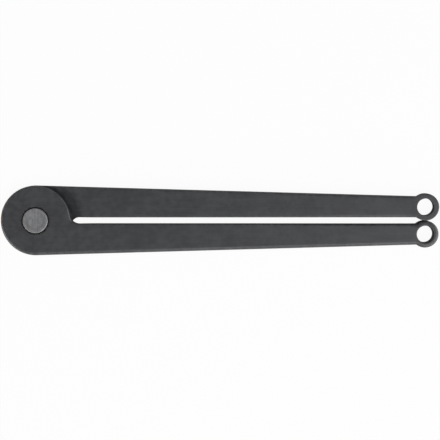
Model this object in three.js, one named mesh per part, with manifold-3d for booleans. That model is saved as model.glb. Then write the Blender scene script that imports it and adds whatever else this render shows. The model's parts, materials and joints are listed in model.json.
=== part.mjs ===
// Adjustable pin spanner, in millimetres with +Z up.
// Two forged arms lap over each other in a round boss and swing on one rivet, and each arm ends in
// an eye that takes a pin. The two forgings are alike, one of them turned over.
// The spanner lies flat and shut. The origin is on the pivot axis, in the plane that it lies on.
// +X runs from the pivot to the eyes, and +Y to the side of the rear arm.

import * as THREE from 'three';
import { mergeVertices } from 'three/addons/utils/BufferGeometryUtils.js';
import Module from 'manifold-3d';

const wasm = await Module();
wasm.setup();

// Arms
const pivotToEye = 183; // along X, from the pivot axis to the axes of the eyes
const armThickness = 6;
const bossDiameter = 32.8;
const slotWidth = 3; // between the arms, beside the boss
const neckWidth = 9.7; // of an arm, at its eye
const eyeDiameter = 12.7;
const eyeBore = 8;
const eyeBoreChamfer = 0.3;
const eyeGap = 0.1; // between the eyes of the shut spanner
const rootFillet = 4.5; // between an arm's inner edge and its boss
const neckFillet = 1; // between an arm's edges and its eye
const edgeRadius = 1.6; // round the forging's edges

// Lap joint
const lapGap = 0.1; // between the two lapped faces
const lapMargin = 0.2; // flat of the lap beyond the other boss, and beyond the slot's tip
const tipSpread = 4; // to each side of the slot's tip, over which the flat draws in to the boss
const rampLength = 12; // from the flat of the lap up to the full thickness

// Rivet
const shankDiameter = 8;
const shankClearance = 0.08; // all round the shank, and between the tail and its countersink
const headDiameter = 11.8;
const headRise = 0.7; // of the middle of the head's face above the arm
const headSeatDepth = 0.6; // of the seat sunk in the front arm for the head
const headSeatGap = 0.4; // all round the head in its seat
const headEdge = 0.45; // rounding of the head's rim
const headCrown = 0.15; // rise of the head's face from its rim to its middle
const headGap = 0.1; // under the head
const tailDepth = 1.2; // of the 45 degree countersunk tail

// Facets
const facetError = 0.01; // between a round surface and its facets
const edgeFacets = 4; // across a rounded edge
const rampFacets = 10;
const cutOvershoot = 1; // of a cut past the faces that it goes through

const bossRadius = bossDiameter / 2;
const eyeRadius = eyeDiameter / 2;
const shankRadius = shankDiameter / 2;
const headRadius = headDiameter / 2;
const tailRadius = shankRadius + tailDepth;
const boreRadius = shankRadius + shankClearance;

// A rear arm's eye touches the shut spanner's middle plane, less half the gap.
const eyeCentre = new THREE.Vector2(pivotToEye, eyeRadius + eyeGap / 2);

const point = (x, y) => new THREE.Vector2(x, y);
const facetAngle = (radius) => 2 * Math.acos(1 - facetError / radius);

// Points of an arc from one angle to another, counterclockwise for turn 1 and clockwise for turn -1.
function arc(centre, radius, from, to, turn) {
  const sweep = turn * THREE.MathUtils.euclideanModulo(turn * (to - from), 2 * Math.PI);
  const steps = Math.ceil(Math.abs(sweep) / facetAngle(radius));
  return Array.from({ length: steps + 1 }, (_, i) => {
    const angle = from + (sweep * i) / steps;
    return point(Math.cos(angle), Math.sin(angle)).multiplyScalar(radius).add(centre);
  });
}

// Angle of the direction from one point to another.
const heading = (from, to) => Math.atan2(to.y - from.y, to.x - from.x);

// Centre of a fillet beside a straight edge that touches a circle from outside. The edge runs through
// start in the direction along, outward points away from the forging, and end picks where the edge
// meets the circle: -1 on its way in, 1 on its way out.
function filletCentre(start, along, outward, centre, radius, fillet, end) {
  const beside = start.clone().addScaledVector(outward, fillet).sub(centre);
  const nearest = -beside.dot(along);
  const reach = Math.sqrt(nearest ** 2 - beside.lengthSq() + (radius + fillet) ** 2);
  return beside.addScaledVector(along, nearest + end * reach).add(centre);
}

// Inner edge of the rear arm, along the slot, and the fillets at its two ends.
const pivot = point(0, 0);
const innerStart = point(bossRadius, slotWidth / 2);
const innerEnd = eyeCentre.clone().sub(point(0, neckWidth / 2));
const innerAlong = innerEnd.clone().sub(innerStart).normalize();
const innerOutward = point(innerAlong.y, -innerAlong.x);
const rootCentre = filletCentre(
  innerStart, innerAlong, innerOutward, pivot, bossRadius, rootFillet, 1,
);
const innerNeckCentre = filletCentre(
  innerStart, innerAlong, innerOutward, eyeCentre, eyeRadius, neckFillet, -1,
);

// Outer edge of the rear arm, tangent to the boss, and the fillet at its eye.
const outerEnd = eyeCentre.clone().add(point(0, neckWidth / 2));
const tangentAngle = outerEnd.angle() + Math.acos(bossRadius / outerEnd.length());
const outerStart = point(Math.cos(tangentAngle), Math.sin(tangentAngle)).multiplyScalar(bossRadius);
const outerAlong = outerEnd.clone().sub(outerStart).normalize();
const outerOutward = point(-outerAlong.y, outerAlong.x);
const outerNeckCentre = filletCentre(
  outerStart, outerAlong, outerOutward, eyeCentre, eyeRadius, neckFillet, -1,
);

// Outline of the rear arm, counterclockwise: boss, root fillet, inner edge, eye and outer edge.
function armOutline() {
  const toInnerEdge = innerOutward.clone().negate().angle();
  const toOuterEdge = outerOutward.clone().negate().angle();
  const loop = [
    ...arc(pivot, bossRadius, tangentAngle, heading(pivot, rootCentre), 1),
    ...arc(rootCentre, rootFillet, heading(rootCentre, pivot), toInnerEdge, -1),
    ...arc(innerNeckCentre, neckFillet, toInnerEdge, heading(innerNeckCentre, eyeCentre), -1),
    ...arc(
      eyeCentre, eyeRadius,
      heading(eyeCentre, innerNeckCentre), heading(eyeCentre, outerNeckCentre), 1,
    ),
    ...arc(outerNeckCentre, neckFillet, heading(outerNeckCentre, eyeCentre), toOuterEdge, -1),
  ];
  return loop.filter((p, i) => p.distanceTo(loop.at(i - 1)) > facetError / 10);
}

// Turned form round the Z axis from a profile of (radius, height) points that starts and ends on it.
function turned(profile) {
  const widest = Math.max(...profile.map((p) => p.x));
  const facets = Math.ceil((2 * Math.PI) / facetAngle(widest));
  return new THREE.LatheGeometry(profile, facets).rotateX(Math.PI / 2);
}

// Solid for cutting, from a closed geometry. Triangles that end in a point on the axis are dropped.
function solidOf(geometry) {
  const bare = geometry.clone();
  bare.deleteAttribute('normal');
  bare.deleteAttribute('uv');
  const merged = mergeVertices(bare);
  const corners = Array.from(merged.index.array);
  const triVerts = new Uint32Array(corners.filter((_, i) => {
    const [a, b, c] = corners.slice(i - (i % 3), i - (i % 3) + 3);
    return a !== b && b !== c && c !== a;
  }));
  const vertProperties = merged.attributes.position.array;
  return new wasm.Manifold(new wasm.Mesh({ numProp: 3, vertProperties, triVerts }));
}

function geometryOf(solid) {
  const { vertProperties, triVerts } = solid.getMesh();
  const geometry = new THREE.BufferGeometry();
  geometry.setAttribute('position', new THREE.BufferAttribute(vertProperties, 3));
  geometry.setIndex(new THREE.BufferAttribute(triVerts, 1));
  geometry.computeVertexNormals();
  return geometry;
}

// The upper half of the boss is cut away for the other arm's boss. The cut's floor is flat to just past
// that boss, and then rises in a ramp that is steepest there and runs out level with the face.
function lapCut() {
  const flatEnd = bossRadius + lapMargin;
  const rampEnd = flatEnd + rampLength;
  const lapHeight = (armThickness - lapGap) / 2;
  const ramp = new THREE.QuadraticBezierCurve(
    point(flatEnd, lapHeight),
    point(flatEnd + rampLength / 2, armThickness),
    point(rampEnd, armThickness),
  );
  const cut = turned([
    point(0, lapHeight),
    ...ramp.getPoints(rampFacets),
    point(rampEnd, armThickness + cutOvershoot),
    point(0, armThickness + cutOvershoot),
  ]);

  // At the slot's tip the two root fillets cross in plan, so the foot of the ramp draws back there.
  const slotTip = rootCentre.x - Math.sqrt(rootFillet ** 2 - rootCentre.y ** 2);
  const corners = cut.attributes.position;
  const corner = new THREE.Vector3();
  for (let i = 0; i < corners.count; i += 1) {
    corner.fromBufferAttribute(corners, i);
    const radius = Math.hypot(corner.x, corner.y);
    const beside = Math.min(Math.abs(corner.y) / tipSpread, 1);
    const drawBack = (slotTip - bossRadius) * (1 - beside ** 2) ** 2;
    if (corner.x > 0 && radius > bossRadius) {
      const stretch = 1 + (drawBack * (rampEnd - radius)) / rampLength / radius;
      corners.setXY(i, corner.x * stretch, corner.y * stretch);
    }
  }
  return cut;
}

// The eye's through bore, with a 45 degree chamfer at both faces.
function eyeCut() {
  const radius = eyeBore / 2;
  const mouth = radius + eyeBoreChamfer + cutOvershoot;
  const cut = turned([
    point(0, -cutOvershoot),
    point(mouth, -cutOvershoot),
    point(radius, eyeBoreChamfer),
    point(radius, armThickness - eyeBoreChamfer),
    point(mouth, armThickness + cutOvershoot),
    point(0, armThickness + cutOvershoot),
  ]);
  return cut.translate(eyeCentre.x, eyeCentre.y, 0);
}

// Seats for the rivet in an arm's outer face: a 45 degree countersink for the tail and a shallow
// counterbore for the head.
const tailSeat = [
  point(boreRadius + tailDepth + cutOvershoot, -cutOvershoot),
  point(boreRadius, tailDepth),
];
const headSeat = [
  point(headRadius + headSeatGap, -cutOvershoot),
  point(headRadius + headSeatGap, headSeatDepth),
  point(boreRadius, headSeatDepth),
];

// The rivet's bore, with its seat.
function rivetCut(seat) {
  return turned([
    point(0, -cutOvershoot),
    ...seat,
    point(boreRadius, armThickness + cutOvershoot),
    point(0, armThickness + cutOvershoot),
  ]);
}

// One arm, lying as the rear arm does, with its lap facing up and the rivet's seat facing down.
function armGeometry(rivetSeat) {
  const forging = new THREE.ExtrudeGeometry(new THREE.Shape(armOutline()), {
    depth: armThickness - 2 * edgeRadius,
    bevelThickness: edgeRadius,
    bevelSize: edgeRadius,
    bevelOffset: -edgeRadius,
    bevelSegments: edgeFacets,
  }).translate(0, 0, edgeRadius);
  return geometryOf(
    solidOf(forging)
      .subtract(solidOf(lapCut()))
      .subtract(solidOf(eyeCut()))
      .subtract(solidOf(rivetCut(rivetSeat))),
  );
}

// The rivet: a tail flush in its countersink, the shank and a low crowned head.
function rivetGeometry() {
  const headBase = armThickness - headSeatDepth + headGap;
  const rimTop = armThickness + headRise - headCrown;
  const face = headRadius - headEdge;
  const crownRadius = (face ** 2 + headCrown ** 2) / (2 * headCrown);
  const crownCentre = point(0, rimTop + headCrown - crownRadius);
  return turned([
    point(0, 0),
    point(tailRadius, 0),
    point(shankRadius, tailDepth),
    point(shankRadius, headBase),
    point(headRadius, headBase),
    ...arc(point(face, rimTop - headEdge), headEdge, 0, Math.PI / 2, 1).slice(0, -1),
    ...arc(crownCentre, crownRadius, Math.acos(face / crownRadius), Math.PI / 2, 1),
  ]);
}

function piece(name, geometry, finish) {
  const mesh = new THREE.Mesh(geometry, new THREE.MeshStandardMaterial(finish));
  mesh.name = name;
  return mesh;
}

const blackenedSteel = { color: 0x444547, roughness: 0.5, metalness: 0.6 };
const bareSteel = { color: 0x78797b, roughness: 0.4, metalness: 1 };

const rearArm = piece('rear_arm', armGeometry(tailSeat), blackenedSteel);
const frontArm = piece('front_arm', armGeometry(headSeat), blackenedSteel);
frontArm.rotation.x = Math.PI;
frontArm.position.z = armThickness;
const pivotRivet = piece('pivot_rivet', rivetGeometry(), bareSteel);

const spanner = new THREE.Group();
spanner.add(rearArm, frontArm, pivotRivet);

export default spanner;
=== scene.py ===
import json

import bmesh
import bpy
import numpy as np
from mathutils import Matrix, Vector


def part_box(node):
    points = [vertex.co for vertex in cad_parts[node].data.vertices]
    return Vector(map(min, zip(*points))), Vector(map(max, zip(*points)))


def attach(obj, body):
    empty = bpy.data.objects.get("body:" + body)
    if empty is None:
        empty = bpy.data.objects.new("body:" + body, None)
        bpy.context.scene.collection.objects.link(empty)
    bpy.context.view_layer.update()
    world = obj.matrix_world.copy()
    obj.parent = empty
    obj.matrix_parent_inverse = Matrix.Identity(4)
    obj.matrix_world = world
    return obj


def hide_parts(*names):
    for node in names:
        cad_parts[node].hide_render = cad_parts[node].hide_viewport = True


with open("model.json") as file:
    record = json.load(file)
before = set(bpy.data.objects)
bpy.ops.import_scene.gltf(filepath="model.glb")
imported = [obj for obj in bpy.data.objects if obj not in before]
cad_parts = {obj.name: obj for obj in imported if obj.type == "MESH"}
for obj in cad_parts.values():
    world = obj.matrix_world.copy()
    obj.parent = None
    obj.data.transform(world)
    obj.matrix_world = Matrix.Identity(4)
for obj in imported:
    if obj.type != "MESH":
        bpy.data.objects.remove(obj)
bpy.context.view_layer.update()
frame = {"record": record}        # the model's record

mm = 0.001
scene = bpy.context.scene
scene.view_settings.view_transform = "Standard"

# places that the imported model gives
armLow, armHigh = (np.array(corner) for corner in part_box("rear_arm"))
rivetHigh = np.array(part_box("pivot_rivet")[1])
openings = {o["name"]: np.array(o["box_m"]) for o in frame["record"]["physics"]["openings"]}
pivot = np.zeros(2)
bossRadius = -armLow[1]
thickness = armHigh[2]
headRadius = rivetHigh[0]
eyeCentre = openings["rear_eye"].mean(axis=0)[:2]
eyeRadius = armHigh[0] - eyeCentre[0]
print("frame: boss %.2f mm, eye at %.1f mm, %.1f mm thick"
      % (bossRadius / mm, eyeCentre[0] / mm, thickness / mm))

# camera almost straight above, as the photograph looks down on the tool lying flat
cameraView = {
    "aim": (86.6 * mm, 0.34 * mm),   # point of the top face in the middle of the picture
    "distance": 580 * mm,            # from the top face
    "lean": 3.6,                     # degrees from straight above, to the rear arm's side
    "pictureWidth": 206.2 * mm,      # of the top face
    "sensor": 36.0,
}


def addCamera():
    data = bpy.data.cameras.new("photoCamera")
    data.sensor_width = cameraView["sensor"]
    data.lens = cameraView["sensor"] * cameraView["distance"] / cameraView["pictureWidth"]
    camera = bpy.data.objects.new("photoCamera", data)
    lean = np.radians(cameraView["lean"])
    towards = Vector((0, np.sin(lean), np.cos(lean)))
    camera.location = Vector((*cameraView["aim"], thickness)) + cameraView["distance"] * towards
    camera.rotation_euler = (-lean, 0, 0)
    scene.collection.objects.link(camera)
    scene.camera = camera


addCamera()
print("camera: ready")


# small geometry helpers, all on whole arrays
def polar(angle):
    # unit vectors (cos a, sin a)
    return np.stack([np.cos(angle), np.sin(angle)], axis=-1)


def heading(vector):
    # angle of each vector: atan2(y, x)
    return np.arctan2(vector[..., 1], vector[..., 0])


def smoothStep(t):
    # 0 to 1 by 3 t^2 - 2 t^3
    t = np.clip(t, 0, 1)
    return t * t * (3 - 2 * t)


def fade(value, start, end):
    # smooth step of a value on its way from start to end, which may be the lower of the two
    return smoothStep((value - start) / (end - start))


def blend(first, second, share):
    # first + (second - first) * share
    return first + (second - first) * share


def arc(centre, radius, start, end, turn, steps):
    # centre + radius * (cos a, sin a), with a from start to end, counterclockwise for turn 1
    sweep = turn * np.mod(turn * (end - start), 2 * np.pi)
    return centre + radius * polar(start + sweep * np.linspace(0, 1, steps + 1))


def filletCentre(start, along, outward, centre, radius, fillet, end):
    # on the edge's parallel at one fillet radius, at radius + fillet from the circle's centre
    beside = start + fillet * outward - centre
    nearest = -beside @ along
    reach = np.sqrt(nearest ** 2 - beside @ beside + (radius + fillet) ** 2)
    return centre + beside + (nearest + end * reach) * along


def lift(plan, height):
    # plan points (..., 2) with their heights become points (..., 3)
    return np.concatenate([plan, np.broadcast_to(height, plan.shape[:-1])[..., None]], axis=-1)


def ring(centre, angle, profile):
    # profile of (radius, height) rows carried round a centre: centre + radius * (cos a, sin a)
    plan = centre + profile[:, None, :1] * polar(angle)[None]
    return lift(plan, profile[:, 1:])


def gridQuads(rows, columns, first):
    # the quads of a grid of points, numbered row by row from first
    index = first + np.arange(rows * columns).reshape(rows, columns)
    corners = (index[:-1, :-1], index[:-1, 1:], index[1:, 1:], index[1:, :-1])
    return np.stack(corners, axis=-1).reshape(-1, 4)


# how the grids of a piece become one mesh
meshing = {
    "mergeDistance": 0.0005 * mm,    # of border points that blocks share
    "sharpAngle": 40,                # degrees between faces that stay crisp
}


def buildMesh(name, blocks, body, node):
    # every block is a grid of points whose quads face outwards, with its edge wear, its lap rub and
    # its share of rough scale side, painted darker as shade; blocks that touch share their border points
    points, quads = [], []
    traces = {"edgeWear": [], "lapRub": [], "rawSideShade": []}
    count = 0
    for grid, *amounts in blocks:
        rows, columns = grid.shape[:2]
        quads.append(gridQuads(rows, columns, count))
        points.append(grid.reshape(-1, 3))
        for values, amount in zip(traces.values(), amounts):
            values.append(np.broadcast_to(amount, (rows, columns)).ravel())
        count += rows * columns
    mesh = bpy.data.meshes.new(name)
    mesh.from_pydata(np.concatenate(points), [], np.concatenate(quads))
    for trace, values in traces.items():
        mesh.attributes.new(trace, "FLOAT", "POINT")
        mesh.attributes[trace].data.foreach_set("value", np.concatenate(values).astype(np.float32))
    work = bmesh.new()
    work.from_mesh(mesh)
    bmesh.ops.remove_doubles(work, verts=work.verts, dist=meshing["mergeDistance"])
    work.to_mesh(mesh)
    work.free()
    mesh.shade_smooth()
    mesh.set_sharp_from_angle(angle=np.radians(meshing["sharpAngle"]))
    piece = bpy.data.objects.new(name, mesh)
    scene.collection.objects.link(piece)
    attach(piece, body)
    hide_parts(node)
    print("%s: %d points, %d faces" % (name, len(mesh.vertices), len(mesh.polygons)))
    return piece


# the two arms: one forging, made as the rear arm lies and turned over for the front one
arm = {
    "slotWidth": 3.0 * mm,         # between the arms, beside the boss
    "neckWidth": 9.7 * mm,         # at the eye
    "eyeBore": 4.0 * mm,           # radius
    "eyeBoreEdge": 0.5 * mm,       # rounding at its mouth in the outer face
    "lapBoreEdge": 0.2 * mm,       # rounding at its mouth on the lap's side
    "rivetBore": 4.08 * mm,        # radius
    "tailSeat": 1.2 * mm,          # depth of the 45 degree countersink under the rear arm
    "headSeat": 0.6 * mm,          # depth of the counterbore in the front arm
    "headSeatGap": 0.4 * mm,       # round the rivet's head
    "headSeatEdge": 0.1 * mm,      # rounding at its mouth
    "rootFillet": 4.5 * mm,
    "neckFillet": 1.0 * mm,
    "edgeRadius": 1.6 * mm,        # outer face
    "lapSideEdge": 1.0 * mm,       # the same edges on the lap's side
    "lapSideEyeEdge": 0.4 * mm,    # round the eye on the lap's side
    "slotEdge": 0.5 * mm,          # beside the slot, near the boss
    "slotTipEdge": 1.0 * mm,       # beside the slot, near the eye
    "bossEdgeRadius": 0.8 * mm,    # where the boss's rim crosses the other arm
    "lapEdgeRadius": 0.3 * mm,     # round the milled lap
    "slotEdgeGrows": (0.5, 0.85),  # shares of the way to the eye between which it widens
    "slotFacing": (0.4, 0.9),      # how squarely an edge faces the slot, from not beside it to beside it
    "slotEdgeFade": 4.0 * mm,      # from the boss on
    "eyeEdgeFade": 2.0 * mm,       # from the shank on to the eye
    "rimFadeX": (-1.0 * mm, 5.0 * mm),    # where the boss's rim comes to cross the other arm
    "rimFadeY": (1.5 * mm, -2.5 * mm),
    "faceMargin": 0.2 * mm,        # flat kept beside the rounding
    "lapGap": 0.1 * mm,
    "lapMargin": 0.2 * mm,         # flat of the lap past the other boss, and past the slot's tip
    "tipSpread": 4.0 * mm,         # to each side of the slot's tip, where the flat reaches further
    "rampLength": 12.0 * mm,
    "rubFade": 1.0 * mm,           # of the rubbed lap, in from its rim
    "rawShadePower": 6,                 # share of rough scale side on a rounding, painted darker as shade: sin(turn) to this power
    "columns": 24, "bossRings": 10, "rootRows": 56, "shankRows": 60,
    "bossSteps": 120, "neckSteps": 8, "eyeSteps": 72, "eyeRings": 3,
    "edgeSteps": 10, "wallSteps": 4, "seatSteps": 4,
}

# plan of the rear arm: inner edge along the slot, outer edge tangent to the boss
innerStart = np.array([bossRadius, arm["slotWidth"] / 2])
innerEnd = eyeCentre - (0, arm["neckWidth"] / 2)
innerAlong = (innerEnd - innerStart) / np.linalg.norm(innerEnd - innerStart)
innerOutward = np.array([innerAlong[1], -innerAlong[0]])
rootCentre = filletCentre(innerStart, innerAlong, innerOutward, pivot, bossRadius,
                          arm["rootFillet"], 1)
innerNeck = filletCentre(innerStart, innerAlong, innerOutward, eyeCentre, eyeRadius,
                         arm["neckFillet"], -1)
outerEnd = eyeCentre + (0, arm["neckWidth"] / 2)
tangentAngle = heading(outerEnd) + np.arccos(bossRadius / np.linalg.norm(outerEnd))
outerOutward = polar(tangentAngle)
outerAlong = np.array([outerOutward[1], -outerOutward[0]])
outerNeck = filletCentre(bossRadius * outerOutward, outerAlong, outerOutward, eyeCentre,
                         eyeRadius, arm["neckFillet"], -1)

# lap: half the thickness out past the other boss, then a ramp that is steepest at its foot
slotTip = rootCentre[0] - np.sqrt(arm["rootFillet"] ** 2 - rootCentre[1] ** 2)
lapHeight = (thickness - arm["lapGap"]) / 2
lapEnd = bossRadius + arm["lapMargin"]
rampEnd = lapEnd + arm["rampLength"]


def lapShare(plan):
    # 0 on the lap and 1 at full thickness, by 1 - (1 - t)^2 along the ramp; the ramp's foot draws
    # back by (1 - (y / spread)^2)^2 round the slot's tip, where the two arms cross in plan
    beside = np.minimum(np.abs(plan[..., 1]) / arm["tipSpread"], 1)
    drawBack = (slotTip - bossRadius) * (1 - beside ** 2) ** 2
    foot = lapEnd + np.where(plan[..., 0] > 0, drawBack, 0)
    t = np.clip((np.linalg.norm(plan, axis=-1) - foot) / (rampEnd - foot), 0, 1)
    return 1 - (1 - t) ** 2


def topHeight(plan):
    # the lap's height, and up the ramp its share of the rest of the thickness
    return lapHeight + (thickness - lapHeight) * lapShare(plan)


def topRub(plan):
    # 1 on the lap that the other boss turns on, fading to 0 at its rim
    return fade(np.linalg.norm(plan, axis=-1), lapEnd, lapEnd - arm["rubFade"])


def sideEdge(plan, outward, edge, eyeEdge):
    # rounding along the outline: finer beside the slot, widening on the way to the eye
    along = fade(plan[..., 0] / eyeCentre[0], *arm["slotEdgeGrows"])
    besideSlot = fade(-outward[..., 1], *arm["slotFacing"])
    besideSlot = besideSlot * fade(plan[..., 0], bossRadius, bossRadius + arm["slotEdgeFade"])
    eyeStart = eyeCentre[0] - eyeRadius
    onEye = fade(plan[..., 0], eyeStart, eyeStart + arm["eyeEdgeFade"])
    edge = blend(edge, blend(arm["slotEdge"], arm["slotTipEdge"], along), besideSlot)
    return blend(edge, eyeEdge, onEye)


def outerEdge(plan, outward):
    # rounding of the outer face: finer on the boss's rim between the far tangent and the slot
    overArm = fade(plan[..., 0], *arm["rimFadeX"]) * fade(plan[..., 1], *arm["rimFadeY"])
    edge = sideEdge(plan, outward, arm["edgeRadius"], arm["edgeRadius"])
    return blend(edge, arm["bossEdgeRadius"], overArm)


def lapSideEdge(plan, outward):
    # rounding of the face that holds the lap, growing from the milled lap up the ramp
    edge = sideEdge(plan, outward, arm["lapSideEdge"], arm["lapSideEyeEdge"])
    return blend(arm["lapEdgeRadius"], edge, lapShare(plan))


def faceOutline():
    # the arm's outline moved inwards to where the flat faces end, with its outward directions:
    # boss arc, inner edge by rows, inner neck, eye, outer neck, outer edge by rows back
    inset = arm["edgeRadius"] + arm["faceMargin"]
    fillet = arm["rootFillet"] + inset
    neck = arm["neckFillet"] + inset
    core = bossRadius - inset
    reach = np.linalg.norm(rootCentre)
    neckEnds = (innerNeck - neck * innerOutward, outerNeck - neck * outerOutward)
    shankEnd = min(np.linalg.norm(end) for end in neckEnds) - arm["faceMargin"]
    rootRows = core + (rampEnd + inset - core) * np.linspace(0, 1, arm["rootRows"] + 1) ** 2
    shankRows = np.linspace(rampEnd + inset, shankEnd, arm["shankRows"] + 1)[1:]
    radius = np.concatenate([rootRows, shankRows])

    # inner edge at each radius: on the root fillet by the law of cosines, then on the straight edge
    cosine = (radius ** 2 + reach ** 2 - fillet ** 2) / (2 * radius * reach)
    swing = np.arccos(np.clip(cosine, -1, 1))
    onFillet = radius[:, None] * polar(heading(rootCentre) + swing)
    level = (innerStart - inset * innerOutward) @ innerOutward
    run = np.sqrt(radius ** 2 - level ** 2)
    onEdge = level * innerOutward + run[:, None] * innerAlong
    filletStop = np.linalg.norm(rootCentre - fillet * innerOutward)
    curved = (radius < filletStop)[:, None]
    inner = np.where(curved, onFillet, onEdge)
    innerOut = np.where(curved, (rootCentre - onFillet) / fillet, innerOutward)

    # outer edge at each radius, tangent to the inset boss
    run = np.sqrt(np.maximum(radius ** 2 - core ** 2, 0))
    outer = core * outerOutward + run[:, None] * outerAlong
    outerOut = np.broadcast_to(outerOutward, outer.shape)

    boss = arc(pivot, core, tangentAngle, heading(rootCentre), 1, arm["bossSteps"])
    eye = arc(eyeCentre, eyeRadius - inset, heading(innerNeck - eyeCentre),
              heading(outerNeck - eyeCentre), 1, arm["eyeSteps"])
    innerBend = arc(innerNeck, neck, heading(-innerOutward), heading(eyeCentre - innerNeck), -1,
                    arm["neckSteps"])
    outerBend = arc(outerNeck, neck, heading(eyeCentre - outerNeck), heading(-outerOutward), -1,
                    arm["neckSteps"])
    head = np.concatenate([innerBend[:-1], eye, outerBend[1:]])
    headOut = np.concatenate([(innerNeck - innerBend[:-1]) / neck,
                              (eye - eyeCentre) / (eyeRadius - inset),
                              (outerNeck - outerBend[1:]) / neck])
    outline = np.concatenate([boss, inner[1:], head, outer[:0:-1], boss[:1]])
    outward = np.concatenate([boss / core, innerOut[1:], headOut, outerOut[:0:-1], boss[:1] / core])
    return inset, radius, inner, outer, boss, head, outline, outward


def rounding(edge, turn):
    # quarter circle from the face to the wall: e (1 - sin a) in from the outline, e (1 - cos a) down
    return edge * (1 - np.sin(turn)), edge * (1 - np.cos(turn))


def rivetBoreProfile(takesHead):
    # (radius, height) from the lap down to the outer face, with the seat of the head or the tail
    bore = arm["rivetBore"]
    if not takesHead:
        tail = arm["tailSeat"]
        return np.array([(bore, lapHeight), (bore, tail), (bore + tail, 0)])
    seat = headRadius + arm["headSeatGap"]
    turn = np.linspace(np.pi / 2, 0, arm["seatSteps"] + 1)
    away, down = rounding(arm["headSeatEdge"], turn)
    mouth = np.stack([seat + away, down], axis=-1)
    floorLine = [(bore, lapHeight), (bore, arm["headSeat"]), (seat, arm["headSeat"])]
    return np.concatenate([floorLine, mouth])


def armBlocks(takesHead):
    # the grids of one arm: its two faces in three parts each, its edge and its bores
    inset, radius, inner, outer, boss, head, outline, outward = faceOutline()
    across = np.linspace(0, 1, arm["columns"] + 1)

    # shank: arcs round the pivot from the inner edge to the outer one, radius * (cos a, sin a)
    start, stop = heading(inner), heading(outer)
    angle = start[:, None] + across * (stop - start)[:, None]
    shank = radius[:, None, None] * polar(angle)

    # boss: rings round the rivet's bore, with the shank's first row on its own stretch
    bossAngle = np.concatenate([angle[0], np.unwrap(heading(boss))[1:]])
    rivetBore = rivetBoreProfile(takesHead)
    bossRadii = np.linspace(0, 1, arm["bossRings"] + 1)[:, None, None]

    def bossFace(bore):
        return (bore + (radius[0] - bore) * bossRadii) * polar(bossAngle)

    # eye: straight lines from the bore's mouth out to the eye's outline and the shank's last row
    loop = np.concatenate([shank[-1, ::-1], head, shank[-1, -1:]])
    eyeAngle = heading(loop - eyeCentre)
    spread = np.linspace(0, 1, arm["eyeRings"] + 1)[:, None, None]

    def eyeFace(boreEdge):
        mouth = eyeCentre + (arm["eyeBore"] + boreEdge) * polar(eyeAngle)
        return blend(mouth, loop, spread)

    blocks = []
    faces = ((bossFace(rivetBore[0, 0]), bossFace(rivetBore[-1, 0])), (shank, shank),
             (eyeFace(arm["lapBoreEdge"]), eyeFace(arm["eyeBoreEdge"])))
    for lapSide, outerSide in faces:
        blocks.append((lift(lapSide, topHeight(lapSide))[:, ::-1], 0.0, topRub(lapSide)[:, ::-1], 0.0))
        blocks.append((lift(outerSide, 0.0), 0.0, 0.0, 0.0))

    # edge: flat margin, rounding, wall, rounding and margin, carried along the outline
    turn = np.linspace(0, np.pi / 2, arm["edgeSteps"] + 1)[:, None]
    rim = outline + inset * outward
    away, down = rounding(lapSideEdge(rim, outward), turn)
    away = np.concatenate([np.full((1, len(rim)), inset), away])
    down = np.concatenate([np.zeros((1, len(rim))), down])
    plan = rim - away[..., None] * outward
    upper = lift(plan, topHeight(plan) - down)
    away, up = rounding(outerEdge(rim, outward), turn[::-1])
    away = np.concatenate([away, np.full((1, len(rim)), inset)])
    up = np.concatenate([up, np.zeros((1, len(rim)))])
    lower = lift(rim - away[..., None] * outward, up)
    wall = blend(upper[-1], lower[0], np.linspace(0, 1, arm["wallSteps"] + 1)[1:-1, None, None])
    bend = np.sin(2 * turn[:, 0])
    worn = np.concatenate([[0], bend, np.zeros(len(wall)), bend[::-1], [0]])
    # rough scale side, painted darker as shade: full on the wall, by sin(turn) to a power up the
    # roundings
    steep = np.sin(turn[:, 0]) ** arm["rawShadePower"]
    rawAndShade = np.concatenate([[0], steep, np.ones(len(wall)), steep[::-1], [0]])
    blocks.append((np.concatenate([upper, wall, lower])[:, ::-1], worn[:, None], 0.0, rawAndShade[:, None]))

    # bores: the eye's with rounded mouths, the rivet's with its seat; their walls are rough scale side,
    # painted darker as shade
    away, down = rounding(arm["lapBoreEdge"], turn[:, 0])
    mouthTop = np.stack([arm["eyeBore"] + away, thickness - down], axis=-1)
    away, up = rounding(arm["eyeBoreEdge"], turn[:, 0])
    mouthLow = np.stack([arm["eyeBore"] + away, up], axis=-1)[::-1]
    worn = np.concatenate([bend, bend[::-1]])
    rawAndShade = np.concatenate([steep, steep[::-1]])
    eyeBore = ring(eyeCentre, eyeAngle, np.concatenate([mouthTop, mouthLow]))
    blocks.append((eyeBore, worn[:, None], 0.0, rawAndShade[:, None]))
    blocks.append((ring(pivot, bossAngle, rivetBore), 0.0, 0.0, 1.0))
    return blocks


def turnedOver(blocks):
    # half a turn about X through the middle of the thickness: (x, -y, thickness - z)
    return [(grid * (1, -1, -1) + (0, 0, thickness), *amounts) for grid, *amounts in blocks]


rearArm = buildMesh("rearArm", armBlocks(takesHead=False), "rear", "rear_arm")
frontArm = buildMesh("frontArm", turnedOver(armBlocks(takesHead=True)), "front", "front_arm")


# rivet: flush countersunk tail, shank and a low head whose face is slightly dished inside its rim
rivet = {
    "shank": 4.0 * mm,            # radius
    "tailDepth": 1.2 * mm,
    "headGap": 0.1 * mm,          # under the head
    "rim": 0.45 * mm,             # rounding of the head's rim
    "dishDepth": 0.12 * mm,
    "dishStart": 3.2 * mm,        # radius of its flat middle
    "dishEnd": 4.9 * mm,          # radius where it meets the rim
    "steps": 160, "faceRings": 60, "rimSteps": 10,
}


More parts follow.
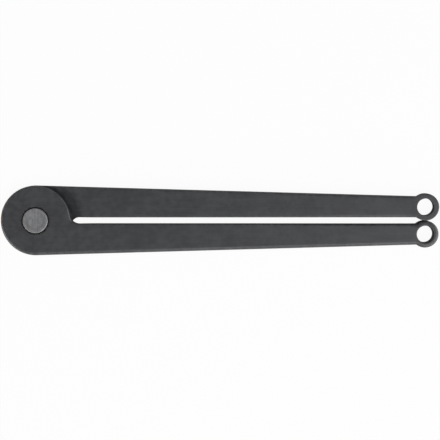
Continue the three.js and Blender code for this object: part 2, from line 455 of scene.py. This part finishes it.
def rivetProfile():
    # (radius, height) from the middle of the tail up the side to the middle of the head
    top = rivetHigh[2]
    tail = rivet["shank"] + rivet["tailDepth"]
    base = thickness - arm["headSeat"] + rivet["headGap"]
    face = headRadius - rivet["rim"]
    turn = np.linspace(0, np.pi / 2, rivet["rimSteps"] + 1)
    rim = np.stack([face + rivet["rim"] * np.cos(turn),
                    top - rivet["rim"] * (1 - np.sin(turn))], axis=-1)
    # dish: its depth below the top, rising by the smooth step from its start to its end
    r = np.linspace(face, 0, rivet["faceRings"] + 1)[1:]
    rise = fade(r, rivet["dishStart"], rivet["dishEnd"])
    dish = np.stack([r, top - rivet["dishDepth"] * (1 - rise)], axis=-1)
    foot = np.array([(0, 0), (tail, 0), (rivet["shank"], rivet["tailDepth"]),
                     (rivet["shank"], base), (headRadius, base)])
    bend = np.concatenate([np.zeros(len(foot)), np.sin(turn), np.zeros(len(dish))])
    return np.concatenate([foot, rim, dish]), bend


rivetAngle = np.linspace(0, 2 * np.pi, rivet["steps"] + 1)
profile, rimWear = rivetProfile()
rivetBlock = (ring(pivot, rivetAngle, profile), rimWear[:, None], 0.0, 0.0)
pivotRivet = buildMesh("pivotRivet", [rivetBlock], "rear", "pivot_rivet")


# materials, from a few node helpers
def newMaterial(name):
    material = bpy.data.materials.new(name)
    material.use_nodes = True
    return material, material.node_tree, material.node_tree.nodes["Principled BSDF"]


def addNode(tree, kind, inputs, **settings):
    # inputs hold plain values, or another node's output to link
    node = tree.nodes.new("ShaderNode" + kind)
    for setting, value in settings.items():
        setattr(node, setting, value)
    for socket, value in inputs.items():
        if isinstance(value, bpy.types.NodeSocket):
            tree.links.new(value, node.inputs[socket])
        else:
            node.inputs[socket].default_value = value
    return node


def addMath(tree, operation, first, second):
    return addNode(tree, "Math", {0: first, 1: second}, operation=operation).outputs[0]


def addNoise(tree, place, size, detail=4.0, roughness=0.55):
    # a cloud whose patches are about one size across
    inputs = {"Vector": place, "Scale": 1 / size, "Detail": detail, "Roughness": roughness}
    return addNode(tree, "TexNoise", inputs).outputs["Fac"]


def addRange(tree, value, low, high, toLow=0.0, toHigh=1.0):
    # a value between low and high goes by the smooth step to one between toLow and toHigh
    inputs = {"Value": value, "From Min": low, "From Max": high, "To Min": toLow, "To Max": toHigh}
    return addNode(tree, "MapRange", inputs, interpolation_type="SMOOTHSTEP").outputs["Result"]


def addMix(tree, factor, first, second):
    # the first colour at factor 0, the second at factor 1
    inputs = {"Factor": factor, "A": first, "B": second}
    return addNode(tree, "Mix", inputs, data_type="RGBA").outputs["Result"]


def addStreaks(tree, place, sizes, detail):
    # a cloud stretched to its sizes along X, Y and Z
    scale = tuple(1 / size for size in sizes)
    along = addNode(tree, "Mapping", {"Vector": place, "Scale": scale}).outputs["Vector"]
    return addNode(tree, "TexNoise", {"Vector": along, "Scale": 1.0, "Detail": detail}).outputs["Fac"]


def addSum(tree, values, shares):
    # the values times their shares, added up
    parts = [addMath(tree, "MULTIPLY", value, share) for value, share in zip(values, shares)]
    total = parts[0]
    for part in parts[1:]:
        total = addMath(tree, "ADD", total, part)
    return total


def addTrace(tree, name):
    # an amount that buildMesh has put on the points
    return addNode(tree, "Attribute", {}, attribute_name=name).outputs["Fac"]


def addBump(tree, height, strength, depth):
    inputs = {"Height": height, "Strength": strength, "Distance": depth}
    return addNode(tree, "Bump", inputs).outputs["Normal"]


def addPolar(tree, place):
    # distance from the pivot axis, as a point on a line, for marks that run round it
    parts = addNode(tree, "SeparateXYZ", {"Vector": place}).outputs
    flat = addNode(tree, "CombineXYZ", {"X": parts["X"], "Y": parts["Y"]}).outputs["Vector"]
    length = addNode(tree, "VectorMath", {0: flat}, operation="LENGTH").outputs["Value"]
    return addNode(tree, "CombineXYZ", {"X": length}).outputs["Vector"]


blackOxide = {
    "dark": (0.0340, 0.0354, 0.0381, 1),
    "light": (0.0515, 0.0536, 0.0577, 1),
    "worn": (0.105, 0.107, 0.112, 1),      # steel showing through along the edges
    "rubbed": (0.150, 0.150, 0.152, 1),    # lap faces, rubbed bright in rings
    "rawAndShade": (0.0140, 0.0142, 0.0148, 1),    # rough scale on the sides and in the bores, its colour painted darker as shade
    "rawRoughness": 1.0,
    "cloudSize": 9 * mm,
    "blotchSize": 2.2 * mm,
    "grainSize": 0.45 * mm,
    "drawMarkSize": (40 * mm, 0.5 * mm, 0.5 * mm),
    "toneShares": (0.40, 0.35, 0.25),      # of clouds, blotches and draw marks
    "toneRange": (0.38, 0.62),             # from dark to light
    "wearRange": (0.38, 0.66),             # of the blotches that break the wear
    "wearShare": (0.15, 0.60),
    "ringSize": 0.5 * mm,                  # of the rubbed rings
    "ringRange": (0.3, 0.7),
    "polishShare": (0.35, 1.0),
    "polishMetallic": 0.6,
    "roughness": (0.40, 0.50),
    "roughnessRange": (0.3, 0.7),
    "speckle": (0.7, 1.3),                 # of the grain in the gloss
    "specular": 0.7,
    "grainDepth": 0.006 * mm,
    "grainStrength": 0.5,
}


def blackOxideSteel():
    material, tree, shader = newMaterial("blackOxideSteel")
    place = addNode(tree, "TexCoord", {}).outputs["Object"]
    wear = addTrace(tree, "edgeWear")
    rub = addTrace(tree, "lapRub")
    rawAndShade = addTrace(tree, "rawSideShade")

    # oxide: broad clouds with smaller blotches and faint draw marks along the arm
    cloud = addNoise(tree, place, blackOxide["cloudSize"], detail=3.0)
    blotch = addNoise(tree, place, blackOxide["blotchSize"], detail=5.0, roughness=0.6)
    draw = addStreaks(tree, place, blackOxide["drawMarkSize"], detail=3.0)
    tone = addSum(tree, (cloud, blotch, draw), blackOxide["toneShares"])
    tone = addRange(tree, tone, *blackOxide["toneRange"])
    oxide = addMix(tree, tone, blackOxide["dark"], blackOxide["light"])

    # wear: broken along the edges by the blotches
    broken = addRange(tree, blotch, *blackOxide["wearRange"])
    broken = addRange(tree, broken, 0.0, 1.0, *blackOxide["wearShare"])
    worn = addMath(tree, "MULTIPLY", wear, broken)
    colour = addMix(tree, worn, oxide, blackOxide["worn"])

    # lap: rings round the pivot
    rings = addNoise(tree, addPolar(tree, place), blackOxide["ringSize"], detail=4.0, roughness=0.7)
    rings = addRange(tree, rings, *blackOxide["ringRange"], *blackOxide["polishShare"])
    polish = addMath(tree, "MULTIPLY", rub, rings)
    metallic = addMath(tree, "MULTIPLY", polish, blackOxide["polishMetallic"])
    colour = addMix(tree, polish, colour, blackOxide["rubbed"])
    # painted shade: a darker colour on the walls, the steep roundings and the bores, with their rough
    # scale
    colour = addMix(tree, rawAndShade, colour, blackOxide["rawAndShade"])

    # fine grain of the oxide, in the gloss and the surface
    grain = addNoise(tree, place, blackOxide["grainSize"], detail=2.0)
    speckle = addRange(tree, grain, 0.0, 1.0, *blackOxide["speckle"])
    speckle = addMath(tree, "MULTIPLY", blotch, speckle)
    gloss = addRange(tree, speckle, *blackOxide["roughnessRange"], *blackOxide["roughness"])
    gloss = addRange(tree, rawAndShade, 0.0, 1.0, gloss, blackOxide["rawRoughness"])
    relief = addBump(tree, grain, blackOxide["grainStrength"], blackOxide["grainDepth"])
    tree.links.new(colour, shader.inputs["Base Color"])
    tree.links.new(gloss, shader.inputs["Roughness"])
    tree.links.new(relief, shader.inputs["Normal"])
    tree.links.new(metallic, shader.inputs["Metallic"])
    shader.inputs["Specular IOR Level"].default_value = blackOxide["specular"]
    return material


bareSteel = {
    "dark": (0.215, 0.217, 0.223, 1),
    "light": (0.335, 0.337, 0.345, 1),
    "bright": (0.400, 0.402, 0.410, 1),     # rubbed rim
    "dirtAndShade": (0.120, 0.120, 0.124, 1),      # oil and grime, darkened further as painted shade, on the dish's slope and the head's side
    "brushSize": (0.22 * mm, 9 * mm, 9 * mm),
    "stainSize": 1.6 * mm,
    "toneShares": (0.6, 0.4),               # of streaks and patches
    "toneRange": (0.35, 0.65),              # from dark to light
    # shares of the darker colour, painted shade with grime, on the dish's slope and on the head's side
    "dishDirtAndShade": 0.5,
    "sideDirtAndShade": 0.8,
    "sideStart": 0.2 * mm,                  # in from the head's side
    "rimShine": 0.25,
    "roughness": (0.36, 0.5),
    "roughnessRange": (0.3, 0.7),
    "metallic": 0.35,
    "brushDepth": 0.004 * mm,
    "brushStrength": 0.5,
}


def bareRivetSteel():
    material, tree, shader = newMaterial("bareRivetSteel")
    place = addNode(tree, "TexCoord", {}).outputs["Object"]
    wear = addTrace(tree, "edgeWear")

    # faced end with streaks across it, dulled in patches
    brush = addStreaks(tree, place, bareSteel["brushSize"], detail=4.0)
    patch = addNoise(tree, place, bareSteel["stainSize"], detail=4.0)
    tone = addSum(tree, (brush, patch), bareSteel["toneShares"])
    shade = addRange(tree, tone, *bareSteel["toneRange"])
    colour = addMix(tree, shade, bareSteel["dark"], bareSteel["light"])

    # painted shade with grime: a darker ring in patches on the dish's slope, and a darker side of the
    # head where it stands in its seat; the rim is rubbed bright
    radius = addNode(tree, "SeparateXYZ", {"Vector": addPolar(tree, place)}).outputs["X"]
    slopeMiddle = (rivet["dishStart"] + rivet["dishEnd"]) / 2
    offSlope = addMath(tree, "ABSOLUTE", addMath(tree, "SUBTRACT", radius, slopeMiddle), 0.0)
    dishDirtShade = addRange(tree, offSlope, 0.0, rivet["dishEnd"] - slopeMiddle, bareSteel["dishDirtAndShade"], 0.0)
    colour = addMix(tree, addMath(tree, "MULTIPLY", dishDirtShade, patch), colour, bareSteel["dirtAndShade"])
    # the head's side is painted darker as shade, with grime, where it stands in its seat
    sideStart = headRadius - bareSteel["sideStart"]
    side = addRange(tree, radius, sideStart, headRadius, 0.0, bareSteel["sideDirtAndShade"])
    colour = addMix(tree, side, colour, bareSteel["dirtAndShade"])
    shine = addMath(tree, "MULTIPLY", wear, bareSteel["rimShine"])
    colour = addMix(tree, shine, colour, bareSteel["bright"])

    gloss = addRange(tree, tone, *bareSteel["roughnessRange"], *bareSteel["roughness"])
    relief = addBump(tree, brush, bareSteel["brushStrength"], bareSteel["brushDepth"])
    tree.links.new(colour, shader.inputs["Base Color"])
    tree.links.new(gloss, shader.inputs["Roughness"])
    tree.links.new(relief, shader.inputs["Normal"])
    shader.inputs["Metallic"].default_value = bareSteel["metallic"]
    return material


oxide = blackOxideSteel()
rearArm.data.materials.append(oxide)
frontArm.data.materials.append(oxide)
pivotRivet.data.materials.append(bareRivetSteel())
print("materials: ready")


# floor: white to the eye, with the object's own soft shadow kept
floor = {
    "half": 6.5,            # metres
    "flat": 4.0,            # half of its flat middle
    "rise": 1.3,            # of its rim, which hides the horizon
    "gap": 0.02 * mm,       # under the tool
    "steps": 26,
    "colour": (0.95, 0.95, 0.95, 1),
    "glow": 0.95,           # share of plain white that the eye and the metal see
}


def addFloor():
    # height: rise ((d - flat) / (half - flat))^2, with d the larger of |x| and |y|
    along = np.linspace(-floor["half"], floor["half"], floor["steps"] + 1)
    plan = np.stack(np.meshgrid(along, along), axis=-1)
    out = np.maximum(np.abs(plan).max(axis=-1) - floor["flat"], 0) / (floor["half"] - floor["flat"])
    grid = lift(plan, floor["rise"] * out ** 2 - floor["gap"])
    mesh = bpy.data.meshes.new("floor")
    mesh.from_pydata(grid.reshape(-1, 3), [], gridQuads(len(along), len(along), 0))
    mesh.shade_smooth()
    sweep = bpy.data.objects.new("floor", mesh)
    scene.collection.objects.link(sweep)

    material, tree, shader = newMaterial("whiteFloor")
    shader.inputs["Base Color"].default_value = floor["colour"]
    shader.inputs["Roughness"].default_value = 1.0
    shader.inputs["Specular IOR Level"].default_value = 0.0
    rays = addNode(tree, "LightPath", {}).outputs
    seen = addMath(tree, "MAXIMUM", rays["Is Camera Ray"], rays["Is Glossy Ray"])
    seen = addMath(tree, "MAXIMUM", seen, rays["Is Transmission Ray"])
    white = addNode(tree, "Emission", {"Strength": 1.0}).outputs["Emission"]
    share = addMath(tree, "MULTIPLY", seen, floor["glow"])
    mix = addNode(tree, "MixShader", {"Fac": share, 1: shader.outputs["BSDF"], 2: white})
    tree.links.new(mix.outputs["Shader"], tree.nodes["Material Output"].inputs["Surface"])
    mesh.materials.append(material)


addFloor()

# soft studio light: boxes round the tool, by azimuth and elevation in degrees, all at one distance in
# metres, and an even dim room
lamps = {
    "lowLeft": {"azimuth": 210, "elevation": 10, "size": (0.6, 0.22), "watts": 4.50},
    "highKey": {"azimuth": 315, "elevation": 55, "size": (0.9, 0.7), "watts": 4.28},
    "lowRight": {"azimuth": 0, "elevation": 10, "size": (1.2, 0.3), "watts": 3.57},
    "lowKey": {"azimuth": 315, "elevation": 10, "size": (1.2, 0.3), "watts": 2.82},
    "right": {"azimuth": 0, "elevation": 30, "size": (1.0, 0.5), "watts": 2.35},
    "highFront": {"azimuth": 270, "elevation": 55, "size": (0.9, 0.7), "watts": 2.13},
    "highBackLeft": {"azimuth": 135, "elevation": 55, "size": (0.9, 0.7), "watts": 1.64},
    "key": {"azimuth": 315, "elevation": 30, "size": (1.0, 0.5), "watts": 0.95},
}
studio = {"distance": 1.1, "roomColour": (1, 1, 1, 1), "roomStrength": 0.020}


def addLamps():
    target = Vector((*cameraView["aim"], 0))
    for name, lamp in lamps.items():
        data = bpy.data.lights.new(name, "AREA")
        data.shape = "RECTANGLE"
        data.size, data.size_y = lamp["size"]
        data.energy = lamp["watts"]
        light = bpy.data.objects.new(name, data)
        azimuth, elevation = np.radians((lamp["azimuth"], lamp["elevation"]))
        towards = lift(np.cos(elevation) * polar(azimuth), np.sin(elevation))
        light.location = target + studio["distance"] * Vector(towards)
        light.rotation_euler = (target - light.location).to_track_quat("-Z", "Y").to_euler()
        scene.collection.objects.link(light)
    world = bpy.data.worlds.new("studio")
    world.use_nodes = True
    background = world.node_tree.nodes["Background"]
    background.inputs["Color"].default_value = studio["roomColour"]
    background.inputs["Strength"].default_value = studio["roomStrength"]
    scene.world = world


addLamps()
print("stage: floor, %d lamps and the room's light" % len(lamps))
